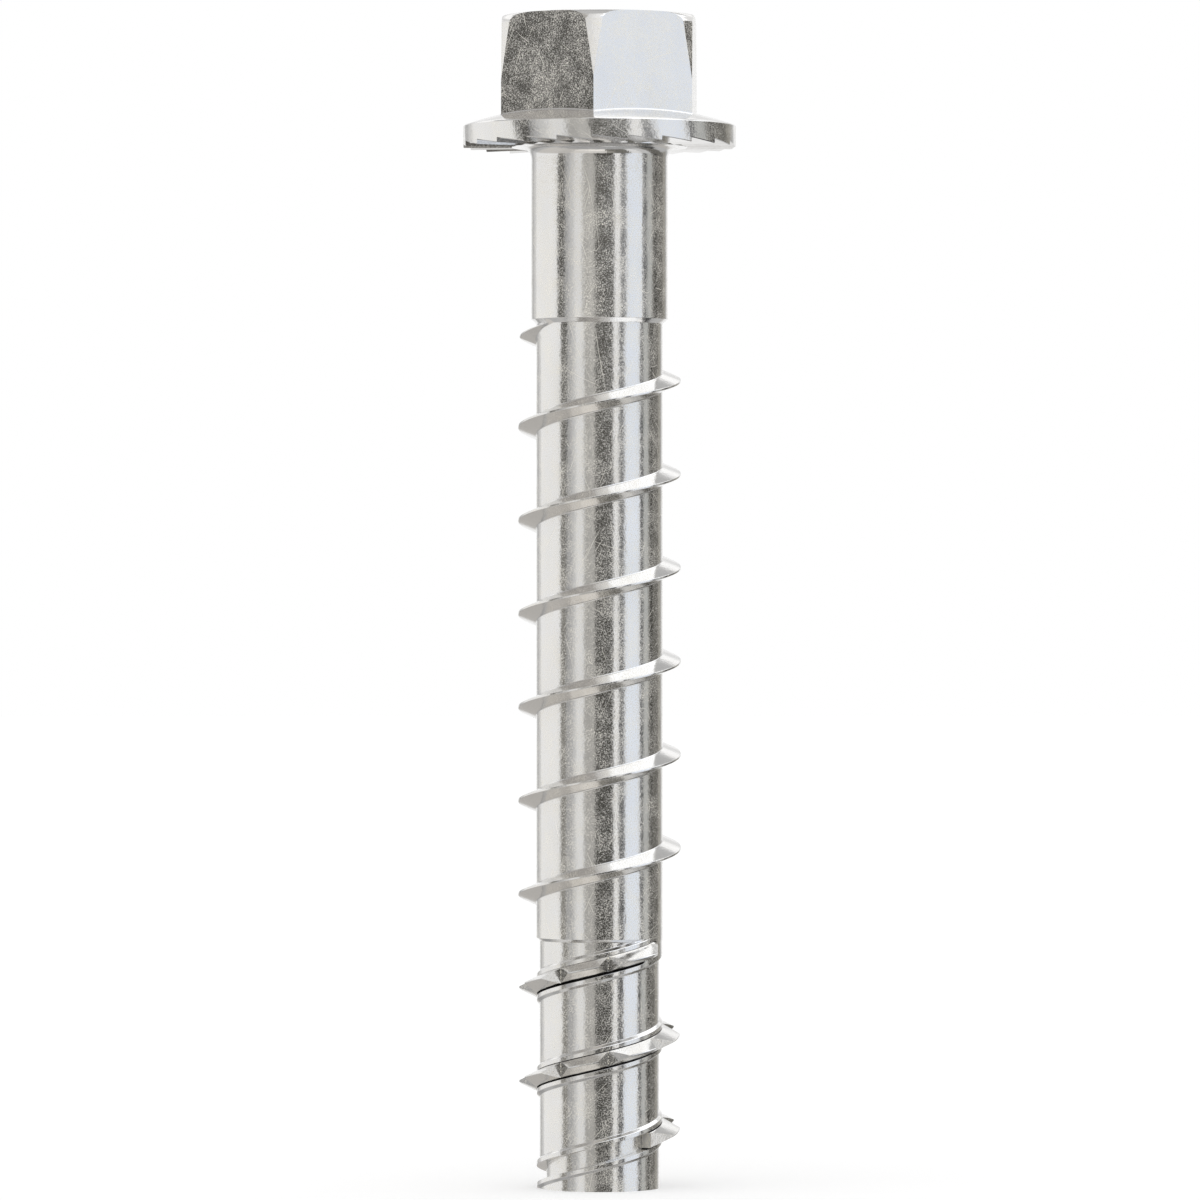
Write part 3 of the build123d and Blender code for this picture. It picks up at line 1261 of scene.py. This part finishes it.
@dataclass
class CuttingCoil:
    """Notched strip of hardened steel, wound into the groove at the tip."""

    helix: HelixLine = field(default_factory=HelixLine)
    upper_height: float = 23.28      # where the upper end lies on the helix
    turns: float = 2.0174
    width: float = 1.50
    drift: float = 0.09              # how much further its lower end lies from the groove's upper wall
    foot_radius: float = 5.20
    side_radius: float = 6.21
    crest_radius: float = 7.95
    crest_round: float = 0.09
    crest_peak: float = 0.05         # what the rounding takes off the sharp crest
    edge_round: float = 0.05
    steps_per_turn: int = 144
    notches: int = 8                 # in a turn
    notch_setback: float = 5.1       # angle from the coil's upper end to its first notch
    notch_floor: float = 6.25        # radius of a notch's bottom
    notch_lead: float = 37.6         # angle between the radius and each wall of a notch
    notch_trail: float = 53.7
    notch_line: float = 0.035        # half the rubbed line along each notch's bottom
    wedge_foot: float = -2.0         # where the notches' cutters start, below the end face
    wedge_length: float = 30.0
    end_shade: float = 0.25           # the sheared ends are dull, and the lower one also takes some painted shade
    end_wear: float = 4.0

    def section(self) -> list[Point]:
        """Section of the strip, from its foot over the cutting edge and back.

        Returns:
            The section's points.
        """
        half = self.width / 2
        foot, side = self.foot_radius, self.side_radius
        crest = (self.crest_radius + self.crest_peak, 0.0)
        corners = [(foot, -half), (side, -half), crest, (side, half), (foot, half), (foot, -half)]
        return rounded(corners, {1: self.edge_round, 2: self.crest_round, 3: self.edge_round})

    def strip(self) -> Mesh:
        """Strip before its notches are cut, with its painted shade and the wear of its ends marked.

        Returns:
            A closed bmesh.
        """
        mesh = bmesh.new()
        pitch = self.helix.pitch + self.drift / self.turns
        start = self.helix.turn_at(self.upper_height) - self.turns * FULL_TURN
        lift = self.upper_height + self.drift - pitch * self.turns
        steps = round(self.turns * self.steps_per_turn)
        spin_section(mesh, self.section(), start + FRONT, self.turns * FULL_TURN, steps, pitch, lift)
        merge_near(mesh)
        # Painted shade on the strip's foot and sides, which lie in the groove's shade
        shade_mask = mesh.faces.layers.float.new(RECESS_SHADE)
        for face in mesh.faces:
            outermost = max(radius_of(vert) for vert in face.verts)
            face[shade_mask] = float(outermost < self.side_radius - 2 * SLACK)
        wear = mesh.faces.layers.float.new(WEAR)
        rim = [edge for edge in mesh.edges if edge.is_boundary]
        for face in bmesh.ops.holes_fill(mesh, edges=rim, sides=0)["faces"]:
            # The upper end face stays unshaded; the lower one gets a share of painted shade
            upper = face.calc_center_median().z > self.upper_height / 2
            face[shade_mask] = 0.0 if upper else self.end_shade
            face[wear] = self.end_wear
        bmesh.ops.recalc_face_normals(mesh, faces=mesh.faces[:])
        return mesh

    def cutters(self) -> Mesh:
        """Leaning wedges that run along the axis through every turn.

        Returns:
            A bmesh of closed wedges.
        """
        mesh = bmesh.new()
        floor, outer = self.notch_floor, self.crest_radius + PAST
        lead = (outer - floor) * math.tan(math.radians(self.notch_lead))
        trail = (outer - floor) * math.tan(math.radians(self.notch_trail))
        corners = [(floor, -self.notch_line), (outer, -lead), (outer, trail), (floor, self.notch_line)]
        first = self.helix.turn_at(self.upper_height) - self.notch_setback + FRONT
        for index in range(self.notches):
            turned = Matrix.Rotation(math.radians(first + index * FULL_TURN / self.notches), 3, "Z")
            verts = [mesh.verts.new(turned @ Vector((*corner, self.wedge_foot))) for corner in corners]
            made = bmesh.ops.extrude_face_region(mesh, geom=[mesh.faces.new(verts)])["geom"]
            bmesh.ops.translate(mesh, vec=(0.0, 0.0, self.wedge_length), verts=only(made, Vert))
        bmesh.ops.recalc_face_normals(mesh, faces=mesh.faces[:])
        return mesh

    def _wear_at(self, face: Face) -> float:
        """Wear of a face: much on the line along a notch's bottom, full elsewhere."""
        on_line = all(abs(radius_of(vert) - self.notch_floor) < SLACK for vert in face.verts)
        return self.end_wear if on_line else 1.0

    def build(self, material: bpy.types.Material) -> bpy.types.Object:
        """Build the coil and cut its notches.

        Args:
            material: its finish.

        Returns:
            The finished piece.
        """
        blank = scene_object(self.strip(), "coil_blank")
        wedges = scene_object(self.cutters(), "coil_wedges")
        cut = blank.modifiers.new("notches", "BOOLEAN")
        cut.operation = "DIFFERENCE"
        cut.solver = "EXACT"
        cut.object = wedges
        bpy.context.view_layer.update()
        notched = bpy.data.meshes.new_from_object(
            blank.evaluated_get(bpy.context.evaluated_depsgraph_get())
        )
        mesh = bmesh.new()
        mesh.from_mesh(notched)
        for data in (blank.data, wedges.data, notched):
            bpy.data.meshes.remove(data)
        merge_near(mesh, MERGE / 2)
        bmesh.ops.dissolve_degenerate(mesh, dist=MERGE / 4, edges=mesh.edges[:])
        mark_wear(mesh, self._wear_at)
        return finish_piece(mesh, "cutting_coil_strip", material, "cutting_coil", 18.0)


# Studio


@dataclass(frozen=True)
class Card:
    """Upright card in the tent: its edges by azimuth from the camera, its light and tint."""

    start: float
    end: float
    light: float
    tint: Colour = (1.0, 1.0, 1.0)


@dataclass(frozen=True)
class Belt:
    """Belt of the tent: its own light, its cards, and the elevations where it gives way upwards."""

    light: float
    upper_edge: tuple[float, float] = (90.0, 95.0)
    cards: tuple[Card, ...] = ()


WARM = (1.0, 0.96, 0.86)
BEIGE = (1.0, 0.98, 0.93)
ROSE = (1.0, 0.965, 0.92)
COOL = (0.94, 1.0, 1.10)
GREENISH = (0.98, 1.0, 0.98)
PALE_BLUE = (0.98, 1.0, 1.03)

RING_CARDS = (
    Card(-160.0, -147.0, 0.48),
    Card(-147.0, -136.0, 0.68),
    Card(-75.5, -60.5, 0.085, WARM),
    Card(-60.5, -53.0, 0.44),
    Card(-53.0, -44.0, 0.64),
    Card(-44.0, -28.0, 0.87),
    Card(-28.0, -19.0, 0.45, BEIGE),
    Card(-19.0, -8.0, 0.52, BEIGE),
    Card(-8.0, 25.0, 0.13, WARM),
    Card(36.0, 46.0, 0.24),
    Card(48.0, 77.0, 0.96, COOL),
    Card(79.5, 87.5, 0.09),
    Card(87.5, 101.0, 0.52, GREENISH),
    Card(101.0, 107.0, 0.17, WARM),
    Card(107.0, 113.0, 0.04, WARM),
    Card(113.0, 135.0, 0.15, WARM),
    Card(135.0, 148.0, 0.33, WARM),
    Card(148.0, 156.0, 0.46),
)

# The same cards as the lower part of the screw sees them: a later card hides an earlier one
LEVEL_CARDS = (
    *RING_CARDS,
    Card(-75.5, -64.0, 0.26, WARM),
    Card(-64.0, -53.0, 0.45),
    Card(-28.0, -8.0, 0.44, BEIGE),
    Card(-8.0, 25.0, 0.08, WARM),
    Card(35.5, 46.5, 0.12),
)

UNDER_CARDS = (
    Card(-183.0, -160.0, 0.52, ROSE),
    Card(-160.0, -148.0, 0.35),
    Card(-130.0, -78.0, 0.67, ROSE),
    Card(-78.0, -50.0, 0.60, ROSE),
    Card(-50.0, -24.0, 0.80, ROSE),
    Card(-24.0, 12.0, 0.80, ROSE),
    Card(12.0, 27.0, 0.34, WARM),
    Card(27.0, 57.0, 0.18, WARM),
    Card(57.0, 78.0, 0.86),
    Card(78.0, 100.0, 0.62),
    Card(100.0, 130.0, 0.15, WARM),
    Card(156.0, 183.0, 0.52, ROSE),
)

DEEP_CARDS = (
    *UNDER_CARDS,
    Card(-50.0, -24.0, 0.92, ROSE),
    Card(-24.0, 11.0, 1.10, ROSE),
    Card(11.0, 27.0, 0.20, WARM),
    Card(122.0, 152.0, 0.06),
)

SLOPE_CARDS = (
    Card(-90.0, -56.0, 0.42, ROSE),
    Card(-56.0, -20.0, 0.50, ROSE),
    Card(-20.0, -7.0, 0.86),
    Card(-7.0, 8.0, 1.04),
)
LOW_CARDS = (*SLOPE_CARDS, Card(8.0, 92.0, 1.05, COOL), Card(92.0, 128.0, 0.12, WARM))
UPPER_CARDS = (
    *SLOPE_CARDS,
    Card(8.0, 86.0, 1.05, COOL),
    Card(86.0, 118.0, 1.50),
    Card(118.0, 150.0, 0.92),
)
TOP_CARDS = (*SLOPE_CARDS, Card(8.0, 142.0, 1.75, PALE_BLUE), Card(142.0, 158.0, 0.56))


@dataclass
class Studio:
    """White world, pale floor, soft sun and a tent of light and grey cards."""

    camera_azimuth: float = 3.1          # how far the camera stands round to +X from -Y
    camera_distance: float = 742.5
    camera_height: float = 57.4
    camera_aside: float = 0.05           # how far it stands to its right
    lens: float = 228.0
    floor_radius: float = 3.0            # in metres
    floor_colour: float = 0.82
    floor_roughness: float = 0.9
    floor_glow: float = 0.23             # only where the camera looks at it
    world_light: float = 0.88            # against 1 where the world is seen
    sun_light: float = 0.38
    sun_width: float = 60.0
    sun_turn: tuple[float, float] = (25.0, -15.0)        # about X and about Y
    tent_radius: float = 2.5             # in metres
    edge_blend: float = 1.5              # angle on each side of a card's edge in which it blends
    belts: tuple[Belt, ...] = (
        Belt(0.42, (-60.0, -52.0)),
        Belt(0.52, (-42.0, -37.0), DEEP_CARDS),
        Belt(0.52, (-21.0, -14.0), UNDER_CARDS),
        Belt(0.99, (-0.5, 2.5), LEVEL_CARDS),
        Belt(0.99, (8.0, 11.0), RING_CARDS),
        Belt(0.97, (13.0, 17.0), LOW_CARDS),
        Belt(0.82, (21.0, 26.0), UPPER_CARDS),
        Belt(1.22, (32.0, 36.0), UPPER_CARDS),
        Belt(0.52, (60.0, 75.0), TOP_CARDS),
        Belt(0.60),
    )

    def build(self) -> None:
        """Make the world, the floor, the sun, the tent and the camera."""
        self._world()
        self._floor()
        self._sun()
        self._tent()
        self._camera()

    def _world(self) -> None:
        """White to the camera and in reflections, a little softer as light."""
        world = bpy.data.worlds.new("studio_world")
        bpy.context.scene.world = world
        world.use_nodes = True
        tree = world.node_tree
        shader = tree.nodes["Background"].inputs
        shader["Color"].default_value = (1.0, 1.0, 1.0, 1.0)
        gain = math_node(tree, "MULTIPLY", self._seen_directly(tree), 1.0 - self.world_light)
        set_input(shader["Strength"], math_node(tree, "ADD", gain, self.world_light))

    @staticmethod
    def _seen_directly(tree: Tree) -> Socket:
        """Tell camera, glossy and transmission rays from the others.

        Args:
            tree: the node tree.

        Returns:
            1 for those rays, 0 for the others.
        """
        rays = tree.nodes.new("ShaderNodeLightPath").outputs
        seen = math_node(tree, "ADD", rays["Is Camera Ray"], rays["Is Glossy Ray"])
        seen = math_node(tree, "ADD", seen, rays["Is Transmission Ray"])
        return math_node(tree, "MINIMUM", seen, 1.0)

    def _floor(self) -> None:
        """Pale floor that keeps the screw's shadow; in the metal the tent stands in its place."""
        mesh = bmesh.new()
        bmesh.ops.create_circle(mesh, cap_ends=True, segments=64, radius=self.floor_radius)
        floor = scene_object(mesh, "floor")
        floor.visible_glossy = False
        material = bpy.data.materials.new("pale_floor")
        material.use_nodes = True
        tree = material.node_tree
        shader = tree.nodes["Principled BSDF"].inputs
        set_input(shader["Base Color"], (self.floor_colour, self.floor_colour, self.floor_colour))
        shader["Roughness"].default_value = self.floor_roughness
        shader["Specular IOR Level"].default_value = 0.0
        shader["Emission Color"].default_value = (1.0, 1.0, 1.0, 1.0)
        glow = math_node(tree, "MULTIPLY", self._seen_directly(tree), self.floor_glow)
        set_input(shader["Emission Strength"], glow)
        floor.data.materials.append(material)

    def _sun(self) -> None:
        """Large soft light from above and a little in front."""
        data = bpy.data.lights.new("soft_sun", "SUN")
        data.energy = self.sun_light
        data.angle = math.radians(self.sun_width)
        sun = bpy.data.objects.new("soft_sun", data)
        sun.rotation_euler = (math.radians(self.sun_turn[0]), math.radians(self.sun_turn[1]), 0.0)
        sun.location = (0.0, -0.3, 1.0)
        sun.visible_glossy = False
        bpy.context.scene.collection.objects.link(sun)

    def _tent(self) -> None:
        """Light tent round the screw, which only reflections see."""
        mesh = bmesh.new()
        bmesh.ops.create_uvsphere(mesh, u_segments=96, v_segments=48, radius=self.tent_radius)
        bmesh.ops.translate(mesh, vec=(0.0, 0.0, self.camera_height * MM), verts=mesh.verts[:])
        tent = scene_object(mesh, "light_tent")
        tent.visible_camera = False
        tent.visible_diffuse = False
        tent.visible_shadow = False
        tent.visible_volume_scatter = False
        tent.data.materials.append(self._tent_material())

    def _tent_material(self) -> bpy.types.Material:
        """Light of the tent: belts of cards one above the other, with soft edges.

        Returns:
            The material.
        """
        material = bpy.data.materials.new("tent_cards")
        material.use_nodes = True
        tree = material.node_tree
        tree.nodes.remove(tree.nodes["Principled BSDF"])
        shader = tree.nodes.new("ShaderNodeEmission")
        set_input(tree.nodes["Material Output"].inputs["Surface"], shader.outputs[0])
        middle = (0.0, 0.0, -self.camera_height * MM)
        turn = (0.0, 0.0, math.radians(90.0 - self.camera_azimuth))
        split = tree.nodes.new("ShaderNodeSeparateXYZ")
        set_input(split.inputs["Vector"], mapped(tree, object_coords(tree), Location=middle, Rotation=turn))
        angle = math_node(tree, "ARCTAN2", split.outputs["Y"], split.outputs["X"])
        azimuth = math_node(tree, "DEGREES", angle)
        rise = math_node(tree, "DIVIDE", split.outputs["Z"], self.tent_radius)

        mask_group = self._card_mask_group()
        light = self._belt_colour(tree, azimuth, self.belts[-1], mask_group)
        for belt in reversed(self.belts[:-1]):
            below = self._belt_colour(tree, azimuth, belt, mask_group)
            low, high = (math.sin(math.radians(elevation)) for elevation in belt.upper_edge)
            light = mixed(tree, smooth_step(tree, rise, low, high), below, light)
        set_input(shader.inputs["Color"], light)
        return material

    def _belt_colour(self, tree: Tree, azimuth: Socket, belt: Belt, mask_group: Tree) -> Given:
        """Colour round the tent in one belt.

        Args:
            tree: the node tree.
            azimuth: azimuth from the camera.
            belt: the belt.
            mask_group: node group that masks a card.

        Returns:
            The colour, as a socket, or plain for a belt without cards.
        """
        colour = (belt.light, belt.light, belt.light)
        for card in belt.cards:
            # A card that touches the next one reaches under it, so their soft edges leave no gap
            touched = any(other.start == card.end for other in belt.cards)
            values = {
                "Azimuth": azimuth,
                "Start": card.start,
                "End": card.end + (2 * self.edge_blend if touched else 0.0),
                "Blend": self.edge_blend,
            }
            mask = placed(tree, mask_group, values).outputs["Mask"]
            colour = mixed(tree, mask, colour, tuple(card.light * tint for tint in card.tint))
        return colour

    @staticmethod
    def _card_mask_group() -> Tree:
        """Mask of a card, with soft edges.

        Returns:
            The group, which puts out 1 between two azimuths.
        """
        inputs = {"Azimuth": 0.0, "Start": -10.0, "End": 10.0, "Blend": 1.5}
        tree, source, target = new_group("card_mask", inputs, ["Mask"])
        steps = []
        for side in ("Start", "End"):
            low = math_node(tree, "SUBTRACT", source[side], source["Blend"])
            high = math_node(tree, "ADD", source[side], source["Blend"])
            steps.append(smooth_step(tree, source["Azimuth"], low, high))
        inside = math_node(tree, "SUBTRACT", 1.0, steps[1])
        set_input(target["Mask"], math_node(tree, "MULTIPLY", steps[0], inside))
        return tree

    def _camera(self) -> None:
        """Camera at the photograph's angle, level with the middle of the screw."""
        turn = math.radians(self.camera_azimuth)
        toward = Vector((math.sin(turn), -math.cos(turn), 0.0))
        right = Vector((math.cos(turn), math.sin(turn), 0.0))
        data = bpy.data.cameras.new("camera")
        data.sensor_width = 36.0
        data.lens = self.lens
        data.clip_start = 0.01
        data.clip_end = 20.0
        camera = bpy.data.objects.new("camera", data)
        camera.location = (
            toward * self.camera_distance + right * self.camera_aside + Vector(UP) * self.camera_height
        ) * MM
        camera.rotation_euler = (math.radians(90.0), 0.0, turn)
        bpy.context.scene.collection.objects.link(camera)
        bpy.context.scene.camera = camera


def main() -> None:
    """Build the finishes, the screw's pieces and the studio."""
    logging.basicConfig(level=logging.INFO, format="%(name)s: %(message)s")
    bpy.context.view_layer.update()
    bpy.context.scene.view_settings.view_transform = "Standard"
    groups = {"grain": grain_group(), "scratch": scratch_group(), "drift": drift_group()}
    stainless, hardened = STAINLESS.build(groups), HARDENED.build(groups)
    pieces = [Shaft().build(stainless), Head().build(stainless), CuttingCoil().build(hardened)]
    for piece in pieces:
        log.info("%s: %d faces", piece.name, len(piece.data.polygons))
    Studio().build()


if __name__ == "__main__":
    main()
